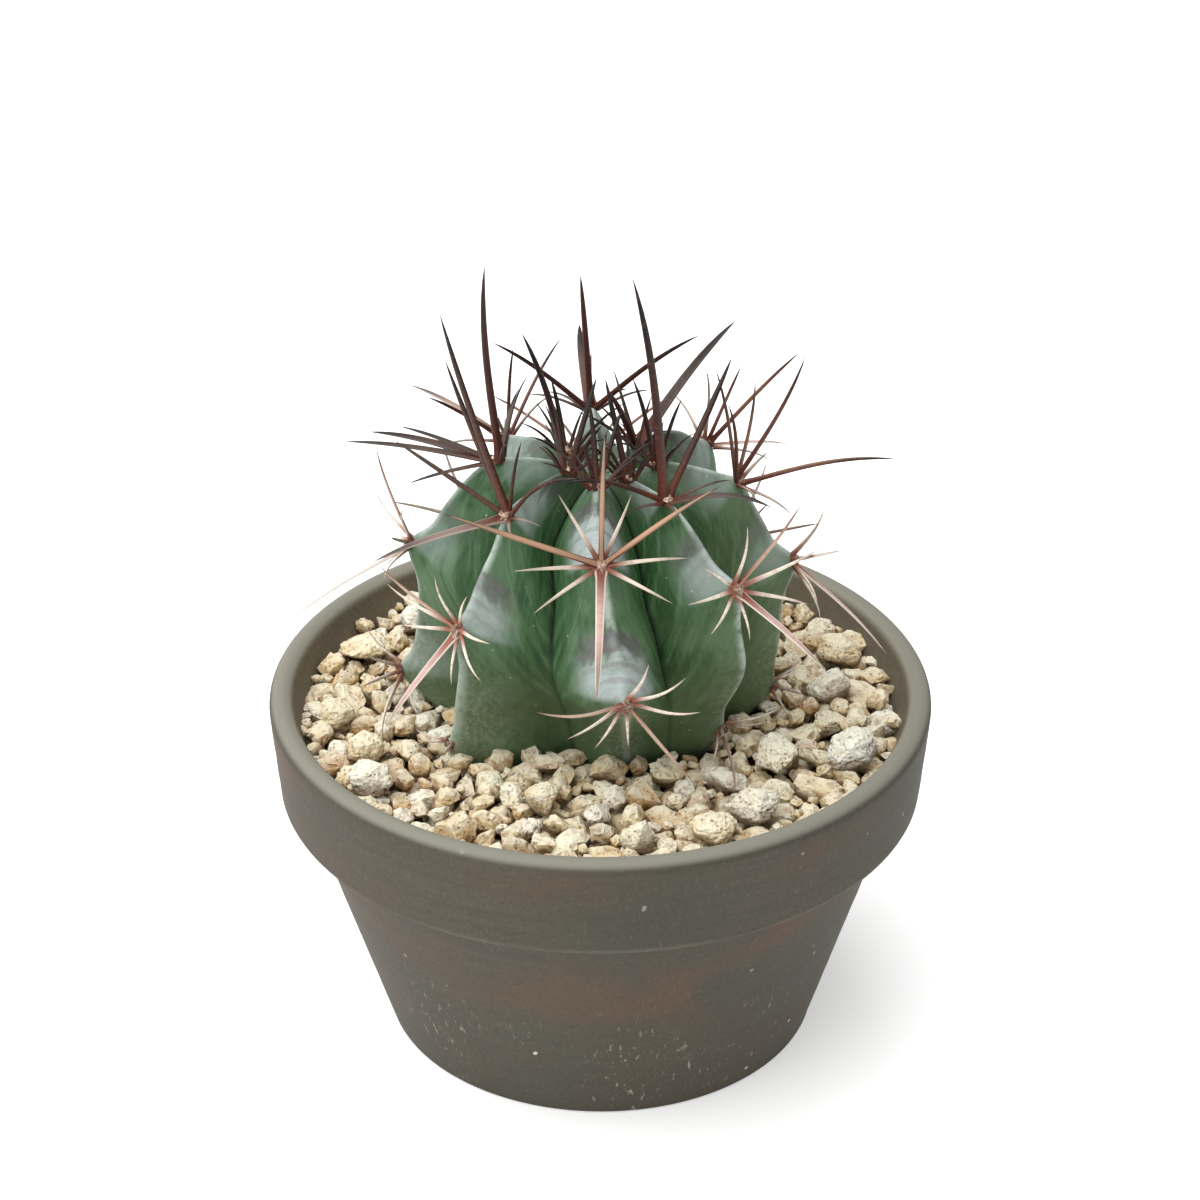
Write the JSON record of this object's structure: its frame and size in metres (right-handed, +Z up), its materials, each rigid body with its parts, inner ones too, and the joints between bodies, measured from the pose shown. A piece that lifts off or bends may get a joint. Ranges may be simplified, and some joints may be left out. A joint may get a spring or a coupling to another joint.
{
  "type": "potted round cactus",
  "caption": "Small ribbed round cactus with long spines in a clay pot with a thick collar, its potting mix topped with pale pumice gravel.",
  "frame": {"origin": "middle of the pot's base, on the surface it stands on", "axes": "+Z up, -Y towards the viewer and the front rib, +X to the viewer's right"},
  "size_m": [0.12, 0.12, 0.1533],
  "materials": {
    "clay": "matte unglazed fired clay, dark olive grey",
    "net": "black moulded plastic net",
    "mix": "loose dark potting mix",
    "gravel": "loose tan pumice gravel",
    "stone": "rough pale pumice",
    "flesh": "waxy green cactus skin",
    "spines": "hard horny spines, cream to red-brown, on pale wool"
  },
  "bodies": {
    "root": {"pot": "clay", "drain_screen": "net", "potting_mix": "mix", "gravel_bed": "gravel", "pumice_stone_01": "stone", "pumice_stone_02": "stone", "pumice_stone_03": "stone", "pumice_stone_04": "stone", "pumice_stone_05": "stone", "pumice_stone_06": "stone", "pumice_stone_07": "stone", "pumice_stone_08": "stone", "pumice_stone_09": "stone", "pumice_stone_10": "stone", "pumice_stone_11": "stone", "pumice_stone_12": "stone", "pumice_stone_13": "stone", "pumice_stone_14": "stone", "cactus_body": "flesh", "spines_left_1": "spines", "spines_left_2": "spines", "spines_left_3": "spines", "spines_front_left_1": "spines", "spines_front_left_2": "spines", "spines_front_left_3": "spines", "spines_front_left_4": "spines", "spines_front_1": "spines", "spines_front_2": "spines", "spines_front_3": "spines", "spines_front_right_1": "spines", "spines_front_right_2": "spines", "spines_front_right_3": "spines", "spines_front_right_4": "spines", "spines_right_1": "spines", "spines_right_2": "spines", "spines_right_3": "spines", "spines_right_4": "spines", "spines_back_right_1": "spines", "spines_back_right_2": "spines", "spines_back_right_3": "spines", "spines_back_1": "spines", "spines_back_2": "spines", "spines_back_3": "spines", "spines_back_left_1": "spines", "spines_back_left_2": "spines", "spines_back_left_3": "spines", "spines_back_left_4": "spines"}
  },
  "joints": []
}
